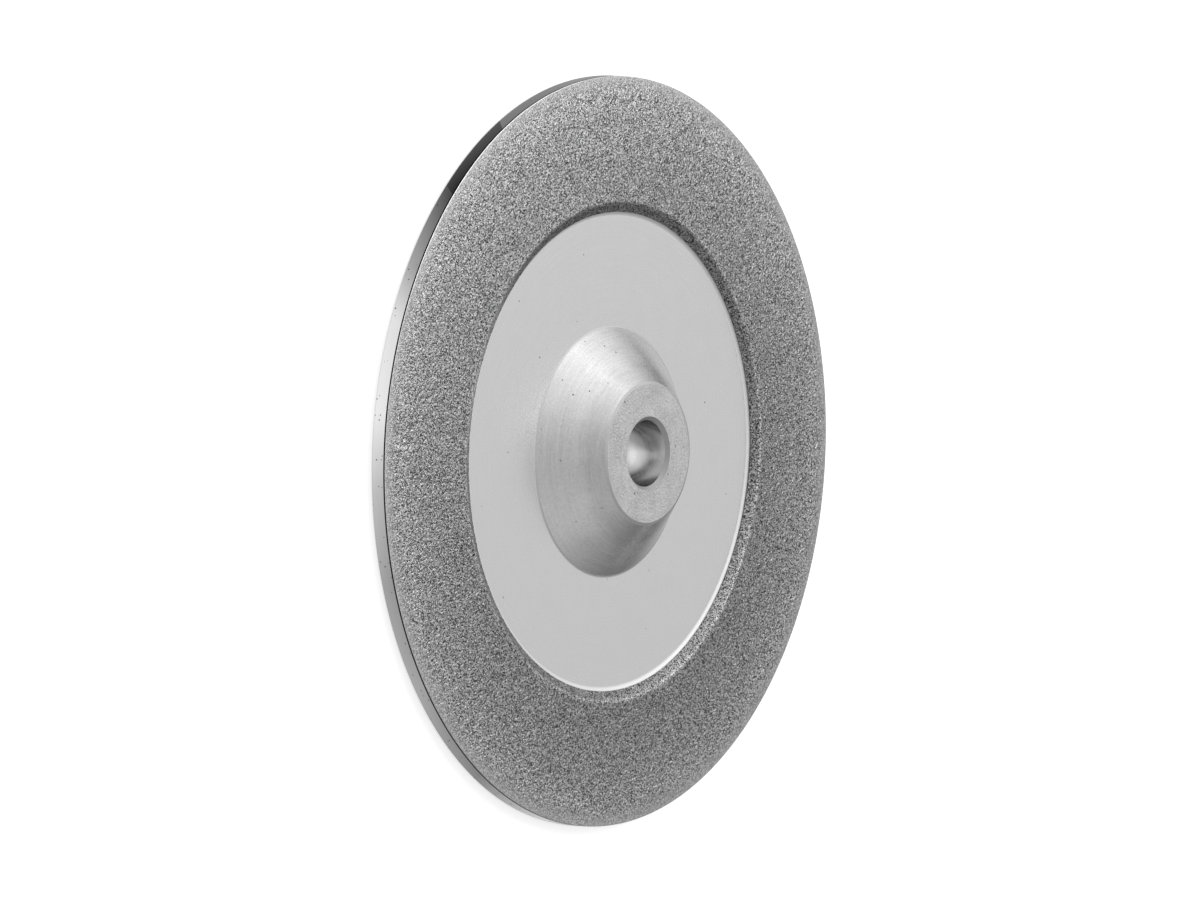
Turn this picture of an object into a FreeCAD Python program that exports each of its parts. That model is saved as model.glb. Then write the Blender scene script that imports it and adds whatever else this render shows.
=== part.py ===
"""Tungsten grinding disc: a turned aluminium disc whose raised outer ring is coated with diamond grit.

Millimetres and degrees. The disc lies flat on its back. The origin is the centre of the back face,
and +Z runs along the axis, out through the cone-shaped boss.
"""

import FreeCAD, Part
import Sketcher
import os

FOLDER = "parts"
SHEET = "sizes"
ON_EDGE = 1e-4  # how near an edge must lie to the circle that it is looked for by

# Sizes that can each be changed alone
DRIVING = {
    "disc_diameter": 90.0,
    "bore_diameter": 8.0,  # slides onto the grinder's spindle
    "overall_thickness": 8.0,  # back face to the boss's top face
    "rim_thickness": 2.0,  # at the outer edge, coating included
    "grit_width": 15.0,  # radial width of the coated grinding face
    "face_angle": 4.0,  # the grinding face rises towards the axis
    "wall_angle": 26.0,  # slope from the face's inner edge down to the web
    "coating_thickness": 0.15,  # square to the metal that it covers
    "bare_strip": 0.45,  # foot of that slope left uncoated, along the slope
    "web_thickness": 2.1,  # flat floor between the slope and the boss
    "boss_base_diameter": 30.0,
    "boss_top_diameter": 17.0,
    "crest_rounding": 0.5,  # inner edge of the grinding face
    "web_corner_radius": 0.4,  # where the slope meets the web
    "boss_foot_radius": 0.4,  # where the boss meets the web
    "boss_edge_break": 0.2,  # chamfer round the boss's top face
    "bore_mouth_chamfer": 0.45,  # lead-in at the boss's end
    "bore_back_chamfer": 0.3,  # lead-in at the back
    "rim_back_break": 0.15,  # chamfer round the back face
}

# What follows from them. A place is a radius from the axis, and a height is above the back face.
# The crest is the inner edge of the grinding face, and "under" means the metal below the coating.
DERIVED = {
    "rim_place": "disc_diameter / 2",
    "bore_place": "bore_diameter / 2",
    "boss_base_place": "boss_base_diameter / 2",
    "boss_top_place": "boss_top_diameter / 2",
    "crest_place": "rim_place - grit_width",
    "crest_height": "rim_thickness + grit_width * tan(face_angle)",
    "face_drop": "coating_thickness / cos(face_angle)",
    "wall_drop": "coating_thickness / cos(wall_angle)",
    "crest_shift": "(wall_drop - face_drop) / (tan(face_angle) + tan(wall_angle))",
    "under_rim_height": "rim_thickness - face_drop",
    "under_crest_place": "crest_place + crest_shift",
    "under_crest_height": "crest_height - face_drop - crest_shift * tan(face_angle)",
    "foot_place": "crest_place - (crest_height - wall_drop - web_thickness) / tan(wall_angle)",
    "coat_end_place": "foot_place + bare_strip * cos(wall_angle)",
    "coat_end_height": "web_thickness + bare_strip * sin(wall_angle)",
    "coat_lip_place": "coat_end_place - coating_thickness * sin(wall_angle)",
    "coat_lip_height": "coat_end_height + coating_thickness * cos(wall_angle)",
}


def write_sheet(doc):
    """The sheet of sizes: the driving numbers, then the formulas, each with its name as alias."""
    sheet = doc.addObject("Spreadsheet::Sheet", SHEET)
    cells = {name: str(number) for name, number in DRIVING.items()}
    cells |= {name: "=" + formula for name, formula in DERIVED.items()}
    for row, (name, content) in enumerate(cells.items(), 1):
        sheet.set(f"A{row}", name)
        sheet.set(f"B{row}", content)
        sheet.setAlias(f"B{row}", name)
    doc.recompute()
    return sheet


def section(body, name, corners, sheet):
    """A closed outline of straight lines in a plane through the axis.

    Each corner is the sheet's names of a place and a height, or None for a height on the back face.
    """
    plane = next(item for item in body.Origin.OriginFeatures if item.Role == "XZ_Plane")
    sketch = body.newObject("Sketcher::SketchObject", name)
    sketch.AttachmentSupport = [(plane, "")]
    sketch.MapMode = "FlatFace"
    points = []
    for place, height in corners:
        up = getattr(sheet, height) if height else 0
        points.append(FreeCAD.Vector(getattr(sheet, place), up, 0))
    for line, start in enumerate(points):
        end = points[(line + 1) % len(points)]
        sketch.addGeometry(Part.LineSegment(start, end))
    for line in range(len(points)):
        following = (line + 1) % len(points)
        sketch.addConstraint(Sketcher.Constraint("Coincident", line, 2, following, 1))
    for line, (place, height) in enumerate(corners):
        across = sketch.addConstraint(Sketcher.Constraint("DistanceX", -1, 1, line, 1, points[line].x))
        sketch.setExpression(f"Constraints[{across}]", f"{SHEET}.{place}")
        if height is None:
            sketch.addConstraint(Sketcher.Constraint("PointOnObject", line, 1, -1))
            continue
        above = sketch.addConstraint(Sketcher.Constraint("DistanceY", -1, 1, line, 1, points[line].y))
        sketch.setExpression(f"Constraints[{above}]", f"{SHEET}.{height}")
    return sketch


def revolve(body, name, sketch):
    """The outline swept once round the disc's axis."""
    turned = body.newObject("PartDesign::Revolution", name)
    turned.Profile = sketch
    turned.ReferenceAxis = (sketch, ["V_Axis"])
    turned.Angle = 360
    sketch.Visibility = False
    return turned


def circle_at(shape, place, height):
    """The name of the shape's circular edge about the axis at that place and height."""
    for number, edge in enumerate(shape.Edges, 1):
        circle = edge.Curve
        if not isinstance(circle, Part.Circle):
            continue
        if abs(circle.Radius - place) < ON_EDGE and abs(circle.Center.z - height) < ON_EDGE:
            return f"Edge{number}"
    raise ValueError(f"no edge at place {place}, height {height}")


def ease(body, kind, name, place, height, size):
    """A fillet or a chamfer of the sheet's named size on one circular edge of the body's last feature."""
    body.Document.recompute()
    base = body.Tip
    feature = body.newObject(f"PartDesign::{kind}", name)
    feature.Base = (base, [circle_at(base.Shape, place, height)])
    feature.setExpression("Radius" if kind == "Fillet" else "Size", f"{SHEET}.{size}")
    return feature


def turned_disc(doc, sheet):
    """The aluminium disc: rim, seat for the coating, flat web and cone-shaped boss, all turned in one."""
    body = doc.addObject("PartDesign::Body", "disc_body")
    body.Label = "disc_body"
    corners = [
        ("bore_place", None),
        ("rim_place", None),
        ("rim_place", "under_rim_height"),
        ("under_crest_place", "under_crest_height"),
        ("foot_place", "web_thickness"),
        ("boss_base_place", "web_thickness"),
        ("boss_top_place", "overall_thickness"),
        ("bore_place", "overall_thickness"),
    ]
    revolve(body, "turning", section(body, "disc_section", corners, sheet))
    ease(body, "Fillet", "web_corner", sheet.foot_place, sheet.web_thickness, "web_corner_radius")
    ease(body, "Fillet", "boss_foot", sheet.boss_base_place, sheet.web_thickness, "boss_foot_radius")
    ease(body, "Chamfer", "boss_edge", sheet.boss_top_place, sheet.overall_thickness, "boss_edge_break")
    ease(body, "Chamfer", "bore_mouth", sheet.bore_place, sheet.overall_thickness, "bore_mouth_chamfer")
    ease(body, "Chamfer", "bore_back", sheet.bore_place, 0, "bore_back_chamfer")
    ease(body, "Chamfer", "rim_back", sheet.rim_place, 0, "rim_back_break")
    return body


def diamond_layer(doc, sheet):
    """The coating: one thin skin over the grinding face and most of the slope inside it."""
    body = doc.addObject("PartDesign::Body", "diamond_layer")
    body.Label = "diamond_layer"
    corners = [
        ("rim_place", "under_rim_height"),
        ("rim_place", "rim_thickness"),
        ("crest_place", "crest_height"),
        ("coat_lip_place", "coat_lip_height"),
        ("coat_end_place", "coat_end_height"),
        ("under_crest_place", "under_crest_height"),
    ]
    revolve(body, "coating", section(body, "layer_section", corners, sheet))
    ease(body, "Fillet", "crest", sheet.crest_place, sheet.crest_height, "crest_rounding")
    return body


def check(doc, bodies):
    """Stops with the name of anything that didn't work out."""
    for item in doc.Objects:
        if "Invalid" in item.State or "Error" in item.State:
            raise RuntimeError(f"{item.Name} failed: {item.State}")
    for body in bodies:
        if body.Shape.isNull() or not body.Shape.isValid() or len(body.Shape.Solids) != 1:
            raise RuntimeError(f"{body.Label} isn't one good solid")


def main():
    doc = FreeCAD.newDocument("tungsten_grinding_disc")
    sheet = write_sheet(doc)
    bodies = [turned_disc(doc, sheet), diamond_layer(doc, sheet)]
    for body in bodies:
        body.Placement = FreeCAD.Placement()
    doc.recompute()
    check(doc, bodies)
    os.makedirs(FOLDER, exist_ok=True)
    for body in bodies:
        body.Shape.exportStep(f"{FOLDER}/{body.Label}.step")
        box = body.Shape.BoundBox
        reach = f"{box.XLength:.2f} x {box.YLength:.2f} x {box.ZLength:.2f}"
        print(f"{body.Label}: {body.Shape.Volume:.1f} mm3, {reach} mm")


main()
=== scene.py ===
# %% [markdown]
# # A disc for grinding tungsten electrodes
# The real disc is turned from one piece of aluminium. Its raised outer ring is coated with one layer of
# diamond grit, held in nickel plating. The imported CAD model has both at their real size. Here they get
# surfaces that look like the real ones, and a camera and lights as in a photographer's studio.

# %% Load the CAD model
import math
from collections import namedtuple

import bpy
import numpy
from mathutils import Matrix, Vector, geometry


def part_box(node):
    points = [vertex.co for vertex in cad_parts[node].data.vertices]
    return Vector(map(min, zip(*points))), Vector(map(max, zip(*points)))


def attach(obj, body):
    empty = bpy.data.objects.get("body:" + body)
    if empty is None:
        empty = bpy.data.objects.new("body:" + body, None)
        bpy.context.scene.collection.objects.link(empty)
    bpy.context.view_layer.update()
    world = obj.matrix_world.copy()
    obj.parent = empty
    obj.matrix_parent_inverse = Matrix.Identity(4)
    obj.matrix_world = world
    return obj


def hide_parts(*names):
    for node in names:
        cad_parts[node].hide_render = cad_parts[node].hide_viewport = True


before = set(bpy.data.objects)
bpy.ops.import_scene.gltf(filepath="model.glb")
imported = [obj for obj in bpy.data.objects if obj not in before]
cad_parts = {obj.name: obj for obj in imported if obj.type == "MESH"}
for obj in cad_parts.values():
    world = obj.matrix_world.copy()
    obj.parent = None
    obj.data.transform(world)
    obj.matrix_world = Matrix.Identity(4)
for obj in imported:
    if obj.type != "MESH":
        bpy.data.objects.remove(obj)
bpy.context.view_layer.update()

MM = 0.001  # Blender works in metres, and this script's sizes are in millimetres
body_low, body_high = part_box("disc_body")
grit_low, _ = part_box("diamond_layer")
print("disc, mm:", [round(size / MM, 2) for size in body_high - body_low])

# %% [markdown]
# ## The sizes
# The outer sizes come from the CAD nodes' boxes. The rest are the same sizes as on the drawing. A place is
# a distance from the axis, and a height is above the back face, which lies on the floor. Names in capitals
# are given, and the others are worked out.

# %% The sizes, in millimetres and degrees
BORE_PLACE = 4.0
BOSS_TOP_PLACE = 8.5
BOSS_BASE_PLACE = 15.0
WEB_HEIGHT = 2.1
RIM_HEIGHT = 2.0
GRIT_WIDTH = 15.0
FACE_ANGLE = 4.0  # the grinding face climbs towards the axis
WALL_ANGLE = 26.0  # and then falls to the web at this angle
COATING = 0.15
BARE_STRIP = 0.45  # foot of that slope, left uncoated
BOSS_FOOT_RADIUS = 0.4
BOSS_EDGE_BREAK = 0.2
BORE_MOUTH_CHAMFER = 0.45
BORE_BACK_CHAMFER = 0.3
RIM_BACK_BREAK = 0.15

rim_place = body_high.x / MM
boss_height = body_high.z / MM
seat_height = grit_low.z / MM  # top of the bare rim, where the coating starts
crest_place = rim_place - GRIT_WIDTH
print("rim at", round(rim_place, 2), "and crest at", round(crest_place, 2), "mm from the axis")

# %% [markdown]
# ## Where the coating ends
# The coating is equally thick on the face and on the slope inside it. So the metal's own crest lies a bit
# lower and to one side. The coat ends a little above the slope's foot, in a cut that is square to the slope.
# The upper edge of that cut is its lip.

# %% The crest under the coating, and the coating's inner end
wall_angle = math.radians(WALL_ANGLE)
face_rise = math.tan(math.radians(FACE_ANGLE))
wall_fall = math.tan(wall_angle)
crest_height = RIM_HEIGHT + GRIT_WIDTH * face_rise
wall_drop = COATING / math.cos(wall_angle)
face_drop = RIM_HEIGHT - seat_height
crest_shift = (wall_drop - face_drop) / (face_rise + wall_fall)
foot_place = crest_place - (crest_height - wall_drop - WEB_HEIGHT) / wall_fall

under_crest = Vector((crest_place + crest_shift, crest_height - face_drop - crest_shift * face_rise))
foot = Vector((foot_place, WEB_HEIGHT))
up_the_wall = Vector((math.cos(wall_angle), math.sin(wall_angle)))
coat_end = foot + up_the_wall * BARE_STRIP
coat_lip = coat_end + COATING * Vector((-up_the_wall.y, up_the_wall.x))
print("coating ends at", coat_end.to_tuple(3), "and its lip is at", coat_lip.to_tuple(3))

# %% [markdown]
# ## The camera
# The photograph was taken from far off with a long lens, so its circles are nearly true ellipses. The width
# of an ellipse against its height gives the angle between the disc's axis and the line of sight. The disc
# lies on the floor here, and the camera looks down on it at that same angle, turned on its side.
#
# Other views are taken with the same lens and from as far off, and they stop drawing at a set distance. A
# camera much farther off than this one would leave the disc out of them.

# %% The camera
VIEW_LEAN = 54.13  # degrees between the disc's axis and the line of sight
FRAME_ROLL = -3.05  # degrees
VIEW_DISTANCE = 3500.0  # mm
ORIGIN_IN_VIEW = (-0.69, -0.08)  # where the disc's origin stands, mm right of and above the frame's centre
FRAME_WIDTH = 143.8  # mm that the frame spans at the disc
SENSOR = 36.0  # mm

lean = Matrix.Rotation(math.radians(VIEW_LEAN), 3, "Y")
roll = Matrix.Rotation(math.radians(FRAME_ROLL), 3, "Z")
disc_in_view = Vector((*ORIGIN_IN_VIEW, -VIEW_DISTANCE)) * MM
world_to_camera = Matrix.Translation(disc_in_view) @ (roll @ lean).to_4x4()
camera_data = bpy.data.cameras.new("studio_camera")
camera_data.sensor_width = SENSOR
camera_data.sensor_fit = "HORIZONTAL"
camera_data.lens = SENSOR * VIEW_DISTANCE / FRAME_WIDTH
camera_data.clip_end = 2 * VIEW_DISTANCE * MM
camera = bpy.data.objects.new("studio_camera", camera_data)
camera.matrix_world = world_to_camera.inverted()
bpy.context.scene.collection.objects.link(camera)
bpy.context.scene.camera = camera
print("lens, mm:", round(camera_data.lens, 1), "camera at", camera.matrix_world.translation.to_tuple(3))

# %% [markdown]
# ## Helpers for materials
# A material is a small tree of nodes. One helper turns a colour from the hex form that paint programs show
# into the linear numbers that the renderer adds up. Another adds a node, sets it and links it.

# %% Colour and node helpers
def linear(code):
    """An sRGB colour such as #C8C8C8 as linear red, green, blue and alpha."""
    parts = [int(code[start:start + 2], 16) / 255 for start in (1, 3, 5)]
    return [part / 12.92 if part <= 0.04045 else ((part + 0.055) / 1.055) ** 2.4 for part in parts] + [1.0]


def add(tree, kind, inputs=None, ramp=None, **settings):
    """A node of a tree. Each input is a plain value, another node's output, or a node for its first one.

    A colour ramp also gets its colours, by their place from 0 to 1 and in that order.
    """
    node = tree.nodes.new("ShaderNode" + kind)
    for name, value in settings.items():
        setattr(node, name, value)
    for number, (part, code) in enumerate((ramp or {}).items()):
        stops = node.color_ramp.elements
        stop = stops[number] if number < 2 else stops.new(part)  # a new ramp has two already
        stop.position = part
        stop.color = linear(code)
    for name, value in (inputs or {}).items():
        if isinstance(value, bpy.types.Node):
            value = value.outputs[0]
        if isinstance(value, bpy.types.NodeSocket):
            tree.links.new(value, node.inputs[name])
        else:
            node.inputs[name].default_value = value
    return node


def new_material(name):
    """A material and its tree, still without nodes."""
    material = bpy.data.materials.new(name)
    material.use_nodes = True
    material.node_tree.nodes.clear()
    return material, material.node_tree


print("the grey #808080 is", round(linear("#808080")[0], 3), "of white in linear light")

# %% [markdown]
# ## Where a point is on the disc
# A lathe leaves marks that run round the axis, so most patterns here depend on how far a point is from the
# axis and how high it is. These numbers, in millimetres, come from the object's own coordinates.

# %% Place and height as nodes
Spot = namedtuple("Spot", "point flat x y place height")


def spot_on_disc(tree):
    """Where a point is, all in mm. Flat is the point without its height."""
    raw = add(tree, "TexCoord").outputs["Object"]
    point = add(tree, "VectorMath", {0: raw, "Scale": 1 / MM}, operation="SCALE")
    axes = add(tree, "SeparateXYZ", {"Vector": point}).outputs
    flat = add(tree, "CombineXYZ", {"X": axes["X"], "Y": axes["Y"]})
    place = add(tree, "VectorMath", {0: flat}, operation="LENGTH").outputs["Value"]
    return Spot(point, flat, axes["X"], axes["Y"], place, axes["Z"])


print("a point's spot has:", ", ".join(Spot._fields))

# %% [markdown]
# ## The marks of the lathe
# All the bare surfaces are the same alloy, aluminium, cut on one lathe. Its tool leaves fine rings. Each is
# a groove with a tone of its own, which changes slowly on the way round. Noise does that when it's fed
# coordinates that are squeezed hard across the rings and hardly at all along them.

# %% Rings that run round the axis
RING_CHANGES = 2.5  # how many times a ring's tone changes over a radian


def lathe_rings(tree, spot, pitch):
    """Noise from 0 to 1 in rings round the axis, whose pitch is in mm."""
    across = add(tree, "Math", {0: spot.place, 1: spot.height}, operation="SUBTRACT")
    ring = add(tree, "Math", {0: across, 1: 1 / pitch}, operation="MULTIPLY")
    level = add(tree, "CombineXYZ", {"Z": ring})
    facing = add(tree, "VectorMath", {0: spot.flat}, operation="NORMALIZE")
    turn = add(tree, "VectorMath", {0: facing, "Scale": RING_CHANGES}, operation="SCALE")
    groove = add(tree, "VectorMath", {0: turn, 1: level}, operation="ADD")
    return add(tree, "TexNoise", {"Vector": groove, "Scale": 1.0, "Detail": 3.0, "Roughness": 0.7})


# %% [markdown]
# Handling and the metal's own flaws leave a few tiny pits. A pit is rough, so it is darker than a highlight
# and lighter than a shadow. Voronoi cells scatter them: each cell may hold one pit, of its own size.

# %% Pits
PIT_SPACING = 0.6  # mm between the places where a pit can be
PIT_SIZE = 0.13  # mm, the radius of the largest pit


def pitted(tree, spot, share):
    """1 in a pit and 0 elsewhere. Share is how many of the places have one."""
    cells = add(tree, "TexVoronoi", {"Vector": spot.point, "Scale": 1 / PIT_SPACING})
    lot = add(tree, "SeparateColor", {"Color": cells.outputs["Color"]}).outputs
    size = add(tree, "Math", {0: lot["Green"], 1: PIT_SIZE / PIT_SPACING}, operation="MULTIPLY")
    near = add(tree, "Math", {0: cells.outputs["Distance"], 1: size}, operation="LESS_THAN")
    picked = add(tree, "Math", {0: lot["Red"], 1: share}, operation="LESS_THAN")
    return add(tree, "Math", {0: near, 1: picked}, operation="MULTIPLY")


# %% [markdown]
# ## Turned aluminium
# Aluminium is a pale, nearly neutral grey metal. Its rings are mostly too fine to see one by one, but they
# stretch every highlight across themselves. In Blender that is the Anisotropic setting, with a tangent that
# runs round the axis. A quarter turn puts the stretch across the rings.
#
# One function makes all the surfaces, and each gives its own roughness, rings and specks.

# %% A function for aluminium as the lathe leaves it
CLOUD_SIZE = 2.86  # mm, slow changes of tone from washing and handling
SPECK_SIZE = 0.278  # mm, the finest changes, coarser than the real ones so that they show
DIMPLE_SIZE = 0.25  # mm, the dimples of a skin that was blasted
PIT_TONE = -0.6  # what a pit adds to the tone
PIT_ROUGHNESS = 0.5  # what a pit adds to the roughness
RING_ROUGHNESS = 0.12  # how far the rings' roughness ranges
PAINTED_DARK_TONE = 0.86  # what the painted darker reflection leaves of the tone
PAINTED_DARK_FADE = 1.2  # mm over which the painted darker reflection fades out
PAINTED_DARK_WANDER = 1.6  # mm by which its edge wanders
ACROSS_RINGS = 0.25  # of a turn


def turned_aluminium(name, colour, roughness, stretch=0.0, ring_pitch=0.2, ring_depth=0.0004, shade=0.03,
                     cloud=0.04, grain=0.04, pits=0.1, frost=0.0, painted_dark_inside=0.0):
    """Aluminium cut in rings, whose pitch and depth are in mm.

    Stretch is how far they draw out a highlight. Shade is how much the rings vary in tone, cloud is how much
    the slow changes do and grain the finest ones. Pits is the share of places that have a pit, and frost is
    how deep, in mm, a blasted skin's dimples are. Nearer to the axis than painted_dark_inside, in mm, the
    paint is a bit darker: a painted darker reflection.
    """
    material, tree = new_material(name)
    spot = spot_on_disc(tree)
    rings = lathe_rings(tree, spot, ring_pitch)
    pit = pitted(tree, spot, pits)
    clouds = add(tree, "TexNoise", {
        "Vector": spot.point, "Scale": 1 / CLOUD_SIZE, "Detail": 4.0, "Roughness": 0.6})
    specks = add(tree, "TexNoise", {
        "Vector": spot.point, "Scale": 1 / SPECK_SIZE, "Detail": 3.0, "Roughness": 0.8})

    tone = 1 - (shade + cloud + grain) / 2
    for pattern, strength in [(rings, shade), (clouds, cloud), (specks, grain), (pit, PIT_TONE)]:
        tone = add(tree, "Math", {0: pattern, 1: strength, 2: tone}, operation="MULTIPLY_ADD")
    # Nearer the axis: a painted darker reflection, whose edge wanders.
    if painted_dark_inside:
        wander = add(tree, "Math", {0: clouds, 1: PAINTED_DARK_WANDER, 2: spot.place}, operation="MULTIPLY_ADD")
        keep = add(tree, "MapRange", {
            "Value": wander, "From Min": painted_dark_inside, "From Max": painted_dark_inside + PAINTED_DARK_FADE,
            "To Min": PAINTED_DARK_TONE, "To Max": 1.0})
        tone = add(tree, "Math", {0: tone, 1: keep}, operation="MULTIPLY")
    paint = add(tree, "VectorMath", {0: linear(colour)[:3], "Scale": tone}, operation="SCALE")

    smoothest = roughness - RING_ROUGHNESS / 2
    blur = add(tree, "Math", {0: rings, 1: RING_ROUGHNESS, 2: smoothest}, operation="MULTIPLY_ADD")
    blur = add(tree, "Math", {0: pit, 1: PIT_ROUGHNESS, 2: blur}, operation="MULTIPLY_ADD")
    relief = add(tree, "Bump", {"Height": rings, "Distance": ring_depth * MM, "Strength": 1.0})
    if frost:
        dimples = add(tree, "TexNoise", {
            "Vector": spot.point, "Scale": 1 / DIMPLE_SIZE, "Detail": 2.0, "Roughness": 0.6})
        relief = add(tree, "Bump", {
            "Height": dimples, "Distance": frost * MM, "Strength": 1.0, "Normal": relief})
    around = add(tree, "Tangent", direction_type="RADIAL", axis="Z")
    metal = add(tree, "BsdfPrincipled", {
        "Base Color": paint, "Metallic": 1.0, "Roughness": blur, "Anisotropic": stretch,
        "Anisotropic Rotation": ACROSS_RINGS, "Tangent": around, "Normal": relief})
    add(tree, "OutputMaterial", {"Surface": metal})
    return material


# %% [markdown]
# ## The finishes
# A rougher cut blurs what the metal mirrors, so it looks more like grey paint. A finer cut shows the room
# and the floor. On the real disc the web is satin, the cone has rings that can be seen, the boss's top is
# frosted and the rim is almost a mirror.

# %% All the bare surfaces
finishes = {
    # A fine, even cut: a calm satin grey with no lines in it.
    "web": turned_aluminium("aluminium_satin_web", "#E0E0E0", 0.27, ring_pitch=0.3, ring_depth=0.00006,
                            shade=0.02, cloud=0.05, grain=0.06, pits=0.02),
    # A coarser cut: rings that sweep round the cone and streak its highlights. Near the top, a painted
    # darker reflection.
    "cone": turned_aluminium("aluminium_turned_cone", "#E0E0E0", 0.24, stretch=0.5, ring_pitch=0.22,
                             ring_depth=0.0016, shade=0.38, cloud=0.18, grain=0.45, painted_dark_inside=11.0),
    # The tool's rounded corner rubs here: a soft grey line round the cone.
    "boss foot": turned_aluminium("aluminium_boss_foot", "#C8C8C8", 0.60, shade=0.04),
    # Faced and then blasted: frosted, with dark and light specks.
    "boss face": turned_aluminium("aluminium_faced_boss", "#CECECE", 0.30, ring_pitch=0.50,
                                  ring_depth=0.0010, shade=0.40, cloud=0.45, grain=1.10, pits=0.15,
                                  frost=0.05),
    # A dull break that softens the line between two faces.
    "boss edge": turned_aluminium("aluminium_boss_edge", "#B8B8B8", 0.60, ring_depth=0.0006, shade=0.06,
                                  cloud=0.2),
    # A bright, narrow chamfer.
    "edge": turned_aluminium("aluminium_broken_edge", "#E6E6E6", 0.16, stretch=0.2),
    # The strip that the plating left bare: matt, and white where it faces the light.
    "bare slope": turned_aluminium("aluminium_bare_slope", "#E0E0E0", 0.58),
    # Reamed: smooth, with fine lines that break up what it mirrors.
    "bore": turned_aluminium("aluminium_reamed_bore", "#D8D8D8", 0.16, stretch=0.3, ring_pitch=0.30,
                             ring_depth=0.0030, shade=0.30, cloud=0.12, grain=0.2, pits=0.15),
    # The finest cut: nearly a mirror, with dark pits that handling left.
    "rim": turned_aluminium("aluminium_fine_turned_rim", "#E0E0E0", 0.08, stretch=0.2, ring_pitch=0.3,
                            ring_depth=0.0002, shade=0.04, pits=0.80),
    # A break painted darker: a painted shade line below the rim.
    "rim break painted shade": turned_aluminium("aluminium_rim_break_painted_shade", "#9C9C9C", 0.30, stretch=0.2),
    # Faced: plain satin with fine rings. It lies on the floor.
    "back": turned_aluminium("aluminium_faced_back", "#D8D8D8", 0.30, stretch=0.4, ring_pitch=0.15,
                             ring_depth=0.0006, shade=0.06),
}
print("finishes:", ", ".join(finishes))

# %% [markdown]
# ## The disc's outline
# A turned part is its outline, swept round an axis. So the outline is written as its corners, and each
# corner is either sharp, rounded with an arc, or broken with a small flat. A long stretch between two
# corners gets one extra point near each of its ends. Those hold the smooth shading flat in between.

# %% Corners of an outline
HOLD = 0.05  # mm from the end of a stretch to its extra point
ARC_STEPS = 8


def rounded(before, corner, after, radius):
    """The arc that eases a corner. Blender's slerp gives a direction, which the radius then stretches."""
    back, on = (before - corner).normalized(), (after - corner).normalized()
    half = back.angle(on) / 2
    centre = corner + (back + on).normalized() * radius / math.sin(half)
    start = corner + back * radius / math.tan(half) - centre
    end = corner + on * radius / math.tan(half) - centre
    return [centre + radius * start.slerp(end, step / ARC_STEPS) for step in range(ARC_STEPS + 1)]


def broken(before, corner, after, size):
    """The small flat that breaks a corner, as far along each side as its size."""
    return [corner + (before - corner).normalized() * size, corner + (after - corner).normalized() * size]


def outline(corners):
    """Points of a closed outline, and the finish of the stretch after each one.

    A corner is its point, the function that eases it or None, the size for that, the finish of the eased
    part and the finish after it.
    """
    points, surfaces = [], []
    for number, (corner, ease, size, eased_finish, finish) in enumerate(corners):
        before, after = corners[number - 1][0], corners[(number + 1) % len(corners)][0]
        eased = ease(before, corner, after, size) if ease else [corner]
        points += eased
        surfaces += [eased_finish] * (len(eased) - 1) + [finish]
    held, held_surfaces = [], []
    for number, (point, finish) in enumerate(zip(points, surfaces)):
        following = points[(number + 1) % len(points)]
        run = following - point
        stretch = [point]
        if run.length > 4 * HOLD:
            step = run.normalized() * HOLD
            stretch += [point + step, following - step]
        held += stretch
        held_surfaces += [finish] * len(stretch)
    return held, held_surfaces


# %% [markdown]
# The plating reaches a little way down over the rim's corner, where it draws a thin dark line, so the bare
# metal starts below it. The slope runs into the web with a slack curve. Both are only a few hundredths of a
# millimetre away from the CAD model's surface.

# %% The disc's corners
PLATING_WRAP = 0.09  # mm that the plating reaches down over the rim's corner
WEB_ROUNDING = 0.8  # mm, the radius between slope and web
edge_foot = seat_height - PLATING_WRAP
body_outline, body_surfaces = outline([
    (Vector((BORE_PLACE, 0)), broken, BORE_BACK_CHAMFER, "edge", "back"),
    # The rim's lower break gets the painted shade line.
    (Vector((rim_place, 0)), broken, RIM_BACK_BREAK, "rim break painted shade", "rim"),
    (Vector((rim_place, edge_foot)), None, 0, None, "back"),
    (under_crest, None, 0, None, "bare slope"),
    (foot, rounded, WEB_ROUNDING, "bare slope", "web"),
    (Vector((BOSS_BASE_PLACE, WEB_HEIGHT)), rounded, BOSS_FOOT_RADIUS, "boss foot", "cone"),
    (Vector((BOSS_TOP_PLACE, boss_height)), broken, BOSS_EDGE_BREAK, "boss edge", "boss face"),
    (Vector((BORE_PLACE, boss_height)), broken, BORE_MOUTH_CHAMFER, "boss edge", "bore"),
])
print("outline points:", len(body_outline))

# %% [markdown]
# ## Turning the outline
# The CAD node is cut into flat facets, about 90 to a turn. They would show in the rim's reflections. So the
# disc is swept again here, with 512 steps to a turn, and stands in for the node at the same place.

# %% The lathe
TURN_STEPS = 512
SHARP = math.radians(12.0)  # corners that turn more than this stay crisp


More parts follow.
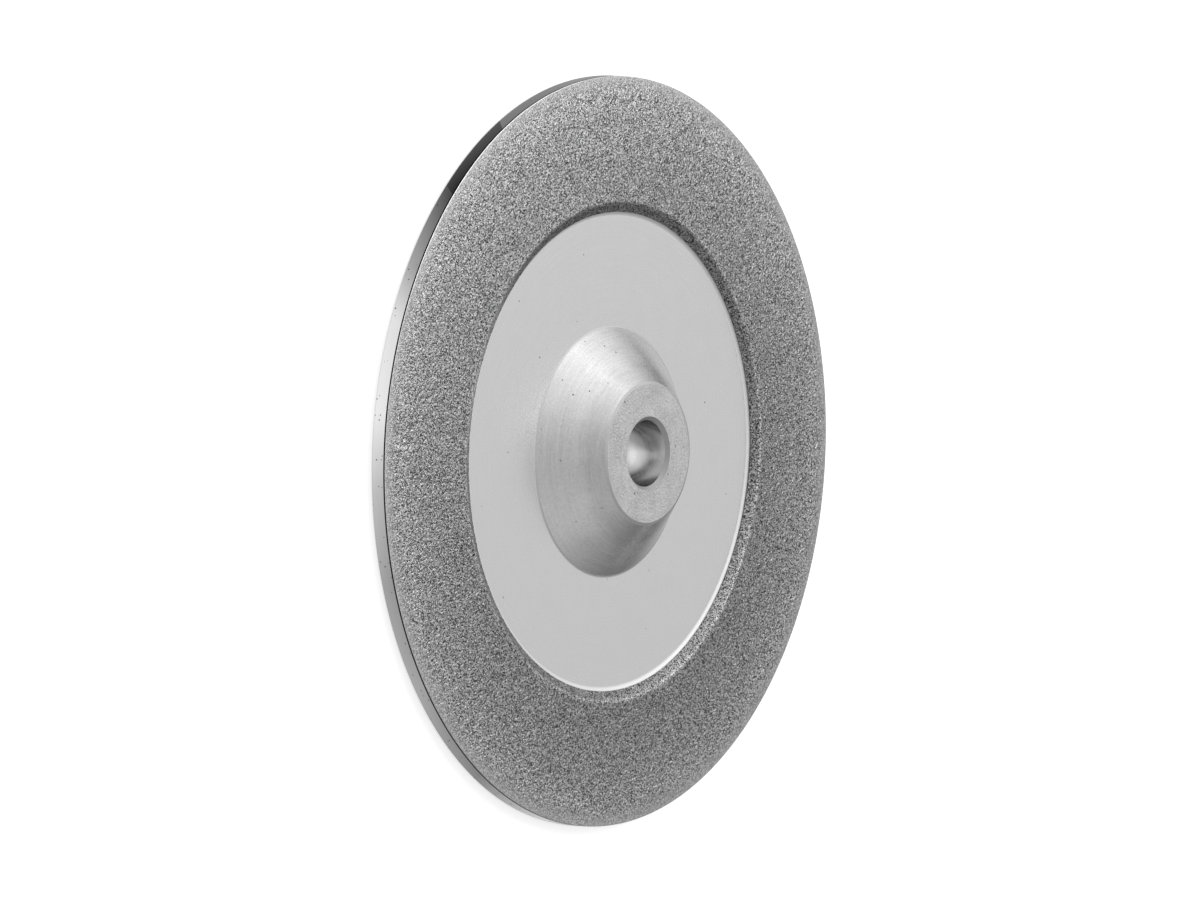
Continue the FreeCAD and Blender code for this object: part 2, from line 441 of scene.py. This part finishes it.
def turned(name, points, surfaces, materials):
    """A closed outline of places and heights in mm, swept round the axis as one smooth mesh."""
    angles = numpy.arange(TURN_STEPS) * 2 * math.pi / TURN_STEPS
    places = numpy.array([point.x for point in points])
    heights = numpy.array([point.y for point in points])
    rings = numpy.stack([numpy.outer(places, numpy.cos(angles)), numpy.outer(places, numpy.sin(angles)),
                         numpy.outer(heights, numpy.ones(TURN_STEPS))], axis=-1) * MM
    ring, step = numpy.meshgrid(numpy.arange(len(points)), numpy.arange(TURN_STEPS), indexing="ij")
    next_ring, next_step = (ring + 1) % len(points), (step + 1) % TURN_STEPS
    corners = [ring * TURN_STEPS + step, ring * TURN_STEPS + next_step,
               next_ring * TURN_STEPS + next_step, next_ring * TURN_STEPS + step]
    mesh = bpy.data.meshes.new(name)
    mesh.from_pydata(rings.reshape(-1, 3), [], numpy.stack(corners, axis=-1).reshape(-1, 4))
    for material in materials.values():
        mesh.materials.append(material)
    order = list(materials)
    mesh.polygons.foreach_set("material_index", [order.index(surfaces[number]) for number in ring.ravel()])
    mesh.shade_smooth()
    mesh.set_sharp_from_angle(angle=SHARP)
    mesh.validate()
    thing = bpy.data.objects.new(name, mesh)
    bpy.context.scene.collection.objects.link(thing)
    return thing


disc = turned("turned_disc", body_outline, body_surfaces, finishes)
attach(disc, "root")
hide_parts("disc_body")
print("turned disc:", len(disc.data.polygons), "faces")

# %% [markdown]
# ## The diamond grit
# The grinding face is one layer of diamond grains, sunk to about half their height in nickel. From a step
# away it looks like fine, sparkling sandpaper, because each grain has flat faces that point their own way.
#
# A bump map could fake that, but its edge would stay a clean line and nothing would stand proud. Here the
# coat is a real mesh instead: points scattered over the ring, each a little higher or lower than the next,
# joined into triangles and shaded flat. Real grains are about 0.1 mm across. That would take a million
# triangles, so the mesh has them twice as far apart, and the material adds the finer ones.

# %% Scattered grains
GRAIN = 0.22  # mm between grains
STRAY = 0.36  # how far a grain strays from the even grid, as a share of GRAIN


def scattered_grains(inner, outer, seed):
    """Points in a ring, on a staggered grid with each point pushed a little its own way."""
    draw = numpy.random.default_rng(seed)
    row_pitch = GRAIN * math.sqrt(3) / 2
    rows = int(2 * outer / row_pitch) + 2
    columns = int(2 * outer / GRAIN) + 2
    row, column = numpy.meshgrid(numpy.arange(rows), numpy.arange(columns), indexing="ij")
    x = (column + 0.5 * (row % 2)) * GRAIN - outer
    y = row * row_pitch - outer
    x = (x + draw.uniform(-STRAY, STRAY, x.shape) * GRAIN).ravel()
    y = (y + draw.uniform(-STRAY, STRAY, y.shape) * GRAIN).ravel()
    inside = (numpy.hypot(x, y) > inner + GRAIN / 2) & (numpy.hypot(x, y) < outer - GRAIN / 2)
    return numpy.stack([x[inside], y[inside]], axis=-1)


def circle(place, steps):
    """Points evenly round a circle."""
    angles = numpy.arange(steps) * 2 * math.pi / steps
    return numpy.stack([numpy.cos(angles), numpy.sin(angles)], axis=-1) * place


# %% [markdown]
# Blender's Delaunay function joins the points to triangles that are as even as they can be. A circle of
# points on each edge and one on the crest keep those three lines clean, as they are on the real disc.

# %% Triangles between the grains
EDGE_STEPS = 1200  # points round each of those circles
BEVEL = 0.07  # mm, the small bevel of smooth plating round the outer edge
ALL_TRIANGLES = 0  # Delaunay's output type
SAME_POINT = 1e-7  # mm within which two points count as one

coat_place = rim_place - BEVEL
grains = scattered_grains(coat_lip.x, coat_place, seed=7)
clear_of_crest = numpy.abs(numpy.hypot(grains[:, 0], grains[:, 1]) - crest_place) > GRAIN / 2
flat_points = numpy.concatenate([circle(coat_place, EDGE_STEPS), circle(coat_lip.x, EDGE_STEPS),
                                 circle(crest_place, EDGE_STEPS), grains[clear_of_crest]])
spread = [Vector(point) for point in flat_points]
triangles = numpy.array(geometry.delaunay_2d_cdt(spread, [], [], ALL_TRIANGLES, SAME_POINT)[2])
middles = flat_points[triangles].mean(axis=1)
triangles = triangles[numpy.hypot(middles[:, 0], middles[:, 1]) > coat_lip.x]
print("grains:", len(grains), "triangles on top:", len(triangles))

# %% [markdown]
# The coat has to be closed, so that it is a solid thing and not a sheet. Its edge rings are joined down to
# the metal: a narrow band at the rim, another at the foot of the slope, and the underside between them. The
# plating fills the gaps between the grains along the outer edge and the crest, so it is calmer there.

# %% The coating as a closed mesh
RELIEF = 0.034  # mm that a grain stands above or below the middle
BEVEL_FALL = 0.02  # mm
CREST_BLEND = 0.12  # mm of height between the two slopes where they start to run into each other
EDGE_CALM = 0.1  # share of the relief that is left at the outer edge
EDGE_CALM_REACH = 2.0  # mm over which the full relief comes back
CREST_CALM = 0.3  # the same two along the crest
CREST_CALM_REACH = 1.0


def coat_height(place):
    """Height in mm of the coat's middle surface at each distance from the axis."""
    face = crest_height - (place - crest_place) * face_rise
    wall = crest_height - (crest_place - place) * wall_fall
    # A smooth lower bound of the two slopes rounds the crest.
    blend = numpy.clip(0.5 + (wall - face) / (2 * CREST_BLEND), 0, 1)
    return wall * (1 - blend) + face * blend - CREST_BLEND * blend * (1 - blend)


def grit_layer(name, materials, band_skins, seed):
    """The whole coat: scattered grains on top, and plain bands for its edges and underside.

    The bands run from the outer top edge round to the inner one. Each names its material by number.
    """
    draw = numpy.random.default_rng(seed)
    places = numpy.hypot(flat_points[:, 0], flat_points[:, 1])
    by_edge = numpy.clip((rim_place - places) / EDGE_CALM_REACH, EDGE_CALM, 1)
    by_crest = numpy.clip(numpy.abs(places - crest_place) / CREST_CALM_REACH, CREST_CALM, 1)
    heights = coat_height(places) + draw.uniform(-RELIEF, RELIEF, len(places)) * (by_edge * by_crest)
    top = numpy.column_stack([flat_points, heights])
    under = [(rim_place, RIM_HEIGHT - BEVEL_FALL), (rim_place, edge_foot), under_crest, coat_end]
    vertices = [top] + [numpy.column_stack([circle(place, EDGE_STEPS), numpy.full(EDGE_STEPS, height)])
                        for place, height in under]
    outer_top = numpy.arange(EDGE_STEPS)
    inner_top = outer_top + EDGE_STEPS
    lower_bands = [outer_top + len(top) + EDGE_STEPS * number for number in range(len(under))]
    bands = [outer_top] + lower_bands + [inner_top]
    faces = triangles.tolist()
    skins = [0] * len(faces)
    for upper, lower, skin in zip(bands, bands[1:], band_skins):
        for step in range(EDGE_STEPS):
            following = (step + 1) % EDGE_STEPS
            faces.append((int(upper[step]), int(lower[step]), int(lower[following]), int(upper[following])))
            skins.append(skin)
    mesh = bpy.data.meshes.new(name)
    mesh.from_pydata(numpy.concatenate(vertices) * MM, [], faces)
    mesh.shade_flat()
    for material in materials:
        mesh.materials.append(material)
    mesh.polygons.foreach_set("material_index", skins)
    thing = bpy.data.objects.new(name, mesh)
    bpy.context.scene.collection.objects.link(thing)
    return thing


# %% [markdown]
# ## Nickel plating with diamonds in it
# Nickel is a mid grey metal. The grains are clear to grey, and they throw the light every way. Between them
# it is dark. The finest grains are drawn by cells of random tone, a little larger than the real ones so
# that they show. The plating is smooth at the coat's outer edge, and the paint is palest there. It gets
# darker towards the slope at its inside, and a painted highlight runs as a thin pale line along the crest.

# %% The grit's material
GRIT = 0.115  # mm, a grain of one tone
GRIT_RELIEF = 0.025  # mm
GRIT_SWING = 0.9  # how far a grain's tone strays from the middle one, as a share of it
EDGE_SWING = 0.3  # what is left of that swing at the outer edge
GRIT_LOTS = (0.2, 0.8)  # a grain's random number, at which it is wholly dark and wholly light
GRIT_ROUGHNESS = (0.26, 0.46)
SMOOTH_FROM = 0.85  # share of the way from the coat's lip to the rim where the grains start to fade
CREST_PAINTED_HIGHLIGHT = (0.02, 0.03)  # how far the crest's painted highlight fades inwards and outwards, on the same scale
METAL_SHARE = 0.85  # the rest is diamond


def diamond_grit():
    """Diamond grains in nickel plating."""
    material, tree = new_material("nickel_bonded_diamond")
    spot = spot_on_disc(tree)
    cells = add(tree, "TexVoronoi", {"Vector": spot.point, "Scale": 1 / GRIT, "Randomness": 1.0})
    lot = add(tree, "SeparateColor", {"Color": cells.outputs["Color"]}).outputs
    out = add(tree, "MapRange", {"Value": spot.place, "From Min": coat_lip.x, "From Max": rim_place})
    crest = (crest_place - coat_lip.x) / (rim_place - coat_lip.x)
    # The stops at the crest paint a pale highlight along it.
    tones = {  # from the coat's lip to the rim
        0.0: "#767676", crest - CREST_PAINTED_HIGHLIGHT[0]: "#7C7C7C", crest: "#9E9E9E", crest + CREST_PAINTED_HIGHLIGHT[1]: "#8A8A8A",
        0.65: "#969696", 0.91: "#A6A6A6", 1.0: "#B8B8B8"}
    middle_tone = add(tree, "ValToRGB", {"Fac": out}, ramp=tones)
    contrast = add(tree, "MapRange", {
        "Value": out, "From Min": SMOOTH_FROM, "From Max": 1.0, "To Min": 1.0, "To Max": EDGE_SWING})
    swing = add(tree, "MapRange", {
        "Value": lot["Red"], "From Min": GRIT_LOTS[0], "From Max": GRIT_LOTS[1], "To Min": -GRIT_SWING,
        "To Max": GRIT_SWING})
    tone = add(tree, "Math", {0: swing, 1: contrast, 2: 1.0}, operation="MULTIPLY_ADD")
    paint = add(tree, "VectorMath", {0: middle_tone, "Scale": tone}, operation="SCALE")
    blur = add(tree, "MapRange", {
        "Value": lot["Green"], "To Min": GRIT_ROUGHNESS[0], "To Max": GRIT_ROUGHNESS[1]})
    relief = add(tree, "Bump", {
        "Height": cells.outputs["Distance"], "Distance": GRIT_RELIEF * MM, "Strength": 1.0}, invert=True)
    skin = add(tree, "BsdfPrincipled", {
        "Base Color": paint, "Metallic": METAL_SHARE, "Roughness": blur, "Normal": relief})
    add(tree, "OutputMaterial", {"Surface": skin})
    return material


# %% [markdown]
# The coat's edges have skins of their own. The bevel round the outside is smooth nickel and catches a thin
# pale line. The cut side below it is near black, with the ends of the grains in it.

# %% The coat's edges, and the coat
BLOTCH_SIZE = 0.25  # mm
BLOTCH_RANGE = (0.35, 0.70)  # noise that gives the darkest and the lightest blotch


def plated_edge(name, dark, light, roughness):
    """Nickel plating round the coat's edge, blotched between two colours by the grains below it."""
    material, tree = new_material(name)
    spot = spot_on_disc(tree)
    blotches = add(tree, "TexNoise", {
        "Vector": spot.point, "Scale": 1 / BLOTCH_SIZE, "Detail": 3.0, "Roughness": 0.7})
    paint = add(tree, "ValToRGB", {"Fac": blotches}, ramp={BLOTCH_RANGE[0]: dark, BLOTCH_RANGE[1]: light})
    skin = add(tree, "BsdfPrincipled", {"Base Color": paint, "Metallic": 1.0, "Roughness": roughness})
    add(tree, "OutputMaterial", {"Surface": skin})
    return material


smooth_edge = plated_edge("nickel_smooth_edge", "#B8B8B8", "#DCDCDC", 0.3)
near_black_edge = plated_edge("nickel_near_black_edge", "#101010", "#404040", 0.6)
grit_skins = [diamond_grit(), smooth_edge, near_black_edge]
grit = grit_layer("diamond_grit", grit_skins, band_skins=[1, 2, 0, 0, 0], seed=11)
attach(grit, "root")
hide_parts("diamond_layer")
print("diamond grit:", len(grit.data.polygons), "faces")

# %% [markdown]
# ## The floor
# The floor is plain white card. The camera, mirrors and glass see it a little brighter than its paint
# alone, so that it fades to white, and the disc's soft shadow still shows on it.

# %% White card
CARD_LIFT = 0.56  # glow that it adds for them, where 1 is white


def lifted_card(tree, rays):
    """Matt white card that lifts itself to white for the camera."""
    paint = add(tree, "BsdfDiffuse", {"Color": linear("#E6E6E6")})
    dark = add(tree, "Emission", {"Strength": 0.0})
    lift = add(tree, "Emission", {"Color": linear("#FFFFFF"), "Strength": CARD_LIFT})
    seen = add(tree, "Math", {0: rays["Is Camera Ray"], 1: rays["Is Glossy Ray"]}, operation="ADD")
    seen = add(tree, "Math", {0: seen, 1: rays["Is Transmission Ray"]}, operation="ADD")
    glow = add(tree, "MixShader", {0: seen, 1: dark, 2: lift})
    return add(tree, "AddShader", {0: paint, 1: glow})


# %% [markdown]
# ## What the rim mirrors
# The rim is nearly a mirror, and all that it shows is the floor just beside it. In the photograph that is
# white card on the near side and a black one further round. Here those cards are strips close to the rim
# that only reflections see. Their tone changes with the direction from the disc's middle.
# Those strips are a painted reflection on the floor, with a painted glow close to the rim.

# %% Painted reflection strips beside the rim
RIM_REFLECTION_REACH = 300.0  # mm from the axis to the strips' outer edge
RIM_REFLECTION_TONES = {  # azimuth in degrees and the painted reflection's tone there
    0: "#707070", 60: "#727272", 84: "#686868", 98: "#7E7E7E", 110: "#707070", 119: "#6C6C6C",
    121: "#6C6C6C", 136: "#404040", 138: "#464646", 152: "#989898", 161: "#D4D4D4", 176: "#DCDCDC",
    188: "#B0B0B0", 203: "#909090", 222: "#989898", 243: "#747474", 262: "#B0B0B0", 270: "#949494",
    300: "#707070", 360: "#707070"}
RIM_REFLECTION_GLOW = 1.5  # glow of a white strip
PAINTED_DARK_STRIP_AZIMUTH = 128.75  # degrees, the middle of a painted dark strip among them
PAINTED_DARK_STRIP_WIDTH = 16.5  # degrees
PAINTED_DARK_STRIP_TONE = 0.33  # how much of the strip's tone it leaves
RIM_PAINTED_GLOW = 0.06  # painted glow along the rim's foot, which only reflections see
RIM_PAINTED_GLOW_REACH = 2.0  # mm


def rim_painted_reflection(tree, spot):
    """The painted reflection strips round the disc, with a painted glow close to the rim."""
    # With both signs changed, the arctangent starts and ends at azimuth 0.
    minus_x = add(tree, "Math", {0: spot.x, 1: -1.0}, operation="MULTIPLY")
    minus_y = add(tree, "Math", {0: spot.y, 1: -1.0}, operation="MULTIPLY")
    angle = add(tree, "Math", {0: minus_y, 1: minus_x}, operation="ARCTAN2")
    part = add(tree, "MapRange", {"Value": angle, "From Min": -math.pi, "From Max": math.pi})
    tones = {azimuth / 360: code for azimuth, code in RIM_REFLECTION_TONES.items()}
    strip = add(tree, "ValToRGB", {"Fac": part}, ramp=tones)
    middle, half = PAINTED_DARK_STRIP_AZIMUTH / 360, PAINTED_DARK_STRIP_WIDTH / 2 / 360
    black = add(tree, "Math", {0: part, 1: middle, 2: half}, operation="COMPARE")
    lost = RIM_REFLECTION_GLOW * (PAINTED_DARK_STRIP_TONE - 1)
    glow = add(tree, "Math", {0: black, 1: lost, 2: RIM_REFLECTION_GLOW}, operation="MULTIPLY_ADD")
    card = add(tree, "Emission", {"Color": strip, "Strength": glow})
    # A painted glow close to the rim.
    foot_glow = add(tree, "MapRange", {
        "Value": spot.place, "From Min": rim_place, "From Max": rim_place + RIM_PAINTED_GLOW_REACH, "To Min": RIM_PAINTED_GLOW,
        "To Max": 0.0})
    return add(tree, "AddShader", {0: card, 1: add(tree, "Emission", {"Strength": foot_glow})})


# %% [markdown]
# ## What the bore mirrors
# The bore shows the patch of floor under it. That patch is painted for reflections only: painted light on
# one side, a painted bright spot, and painted shade close to the wall.

# %% The painted patch of floor under the bore
BORE_FLOOR_DIM = 0.40  # glow of the patch on its dim side
BORE_FLOOR_LIT = 0.85  # and on its lit side
BORE_LIT_X = (2.6, 0.0)  # mm along X where the light starts and where it is full
BORE_LIT_Y = (-1.6, -0.2)  # and along Y
BORE_SPOT = (0.3, 0.4, 0.0)  # mm, the middle of the bright spot
BORE_SPOT_FADE = (0.2, 1.7)  # mm from its middle where it starts to fade and where it is gone
BORE_SPOT_GLOW = 0.40
BORE_PAINTED_SHADE_FADE = (2.4, 3.7)  # mm from the axis where the painted shade starts and where it is full
BORE_PAINTED_SHADE_TONE = 0.15  # what the painted shade leaves


def painted_bore_floor(tree, spot):
    """The patch under the bore, with painted light, a painted bright spot and painted shade by the wall."""
    lit_x = add(tree, "MapRange", {"Value": spot.x, "From Min": BORE_LIT_X[0], "From Max": BORE_LIT_X[1]})
    lit_y = add(tree, "MapRange", {"Value": spot.y, "From Min": BORE_LIT_Y[0], "From Max": BORE_LIT_Y[1]})
    lit = add(tree, "Math", {0: lit_x, 1: lit_y}, operation="MULTIPLY")
    patch = add(tree, "MapRange", {"Value": lit, "To Min": BORE_FLOOR_DIM, "To Max": BORE_FLOOR_LIT})
    away = add(tree, "VectorMath", {0: spot.point, 1: BORE_SPOT}, operation="DISTANCE").outputs["Value"]
    bright = add(tree, "MapRange", {
        "Value": away, "From Min": BORE_SPOT_FADE[0], "From Max": BORE_SPOT_FADE[1],
        "To Min": BORE_SPOT_GLOW, "To Max": 0.0}, interpolation_type="SMOOTHSTEP")
    glow = add(tree, "Math", {0: patch, 1: bright}, operation="ADD")
    painted_wall_shade = add(tree, "MapRange", {
        "Value": spot.place, "From Min": BORE_PAINTED_SHADE_FADE[0], "From Max": BORE_PAINTED_SHADE_FADE[1], "To Min": 1.0,
        "To Max": BORE_PAINTED_SHADE_TONE})
    shaded = add(tree, "Math", {0: glow, 1: painted_wall_shade}, operation="MULTIPLY")
    return add(tree, "Emission", {"Strength": shaded})


# %% [markdown]
# ## One sheet for all of it
# The floor is a single flat sheet. Its material picks what a ray sees: a reflection close to the disc gets
# the painted patch or the painted reflection strips, and everything else gets the white card.

# %% The floor
FLOOR = 6.0  # m each way


def floor_material():
    """White card, with the painted patch and the painted reflection strips that only reflections see."""
    material, tree = new_material("white_card")
    spot = spot_on_disc(tree)
    rays = add(tree, "LightPath").outputs
    outside = add(tree, "Math", {0: spot.place, 1: BORE_PLACE}, operation="GREATER_THAN")
    mirrored = add(tree, "MixShader", {0: outside, 1: painted_bore_floor(tree, spot), 2: rim_painted_reflection(tree, spot)})
    near = add(tree, "Math", {0: spot.place, 1: RIM_REFLECTION_REACH}, operation="LESS_THAN")
    shown = add(tree, "Math", {0: near, 1: rays["Is Glossy Ray"]}, operation="MULTIPLY")
    both = add(tree, "MixShader", {0: shown, 1: lifted_card(tree, rays), 2: mirrored})
    add(tree, "OutputMaterial", {"Surface": both})
    return material


half = FLOOR / 2
floor_mesh = bpy.data.meshes.new("floor")
floor_mesh.from_pydata([(-half, -half, 0), (half, -half, 0), (half, half, 0), (-half, half, 0)], [],
                       [(0, 1, 2, 3)])
floor_mesh.materials.append(floor_material())
floor = bpy.data.objects.new("floor", floor_mesh)
bpy.context.scene.collection.objects.link(floor)
print("floor, m:", FLOOR, "each way")

# %% [markdown]
# ## The light
# Metal shows its surroundings more than its own colour, so the light on it matters as much as its paint.
# The photograph has no hard edge in any highlight: the disc stood between big soft lights. Lamps could do
# that, but each would have an edge that a smooth cone shows. So the room itself glows here. Each soft light
# is a direction, how tightly the glow gathers round it, and how much it adds at its middle, where 1 is
# white. A black card takes light away, so its strength is below 0.

# %% The room and its soft lights
ROOM = 0.25  # glow that comes from everywhere
SOFT_LIGHTS = {  # azimuth and elevation in degrees, tightness, strength
    "key above the frame": (75, 30, 5, 0.72),
    "top of the key": (110, 60, 8, 0.37),
    "side of the key": (35, 40, 10, 0.20),
    "card opposite the camera": (5, 26, 12, 0.44),
    "overhead": (0, 80, 14, 0.45),
    "low card": (45, 15, 10, 0.18),
    "fill below the frame": (-100, 40, 4, 0.31),
    "fill by the camera": (180, 50, 6, 0.10),
    "black card beside the frame": (-22, 13, 20, -0.20),
}


def towards(azimuth, elevation):
    """The unit vector that points that way, in degrees. Azimuth 0 is along X, and 90 is along Y."""
    azimuth, elevation = math.radians(azimuth), math.radians(elevation)
    flat = math.cos(elevation)
    return Vector((flat * math.cos(azimuth), flat * math.sin(azimuth), math.sin(elevation)))


world = bpy.data.worlds.new("studio")
world.use_nodes = True
room = world.node_tree
room.nodes.clear()
way = add(room, "TexCoord").outputs["Generated"]
total = ROOM
for azimuth, elevation, tightness, strength in SOFT_LIGHTS.values():
    aim = towards(azimuth, elevation)
    facing = add(room, "VectorMath", {0: way, 1: aim}, operation="DOT_PRODUCT").outputs["Value"]
    falloff = add(room, "Math", {0: facing, 1: tightness, 2: -tightness}, operation="MULTIPLY_ADD")
    glow = add(room, "Math", {0: falloff}, operation="EXPONENT")
    total = add(room, "Math", {0: glow, 1: strength, 2: total}, operation="MULTIPLY_ADD")
sky = add(room, "Background", {"Color": linear("#FFFFFF"), "Strength": total})
add(room, "OutputWorld", {"Surface": sky})
bpy.context.scene.world = world
bpy.context.scene.view_settings.view_transform = "Standard"
# A glow of tightness t fills about 2 pi / t of the sky's solid angle, and light that fills pi of it,
# straight above, makes a white card look as bright as the light itself.
level = ROOM + sum(2 * strength * math.sin(math.radians(elevation)) / tightness
                   for _, elevation, tightness, strength in SOFT_LIGHTS.values())
print("light on a level card, where 1 shows its paint as written:", round(level, 2))

# %% [markdown]
# One lamp stands close by. The light of a near lamp comes from a slightly different way at each spot, so it
# lights one side of the grinding face more than the other, which a room so far off can't do.

# %% The near lamp
def softbox(name, azimuth, elevation, distance, side, radiance):
    """A square lamp aimed at the disc, with its distance and side in m.

    Radiance is how bright it looks, where 1 is white.
    """
    lamp = bpy.data.lights.new(name, "AREA")
    lamp.shape = "SQUARE"
    lamp.size = side
    lamp.energy = radiance * math.pi * side * side
    thing = bpy.data.objects.new(name, lamp)
    thing.location = distance * towards(azimuth, elevation)
    thing.rotation_euler = thing.location.to_track_quat("Z", "Y").to_euler()
    bpy.context.scene.collection.objects.link(thing)
    return lamp


near_lamp = softbox("near_softbox", azimuth=50, elevation=54, distance=0.32, side=0.2, radiance=1.9)
print("near lamp, W:", round(near_lamp.energy, 3))
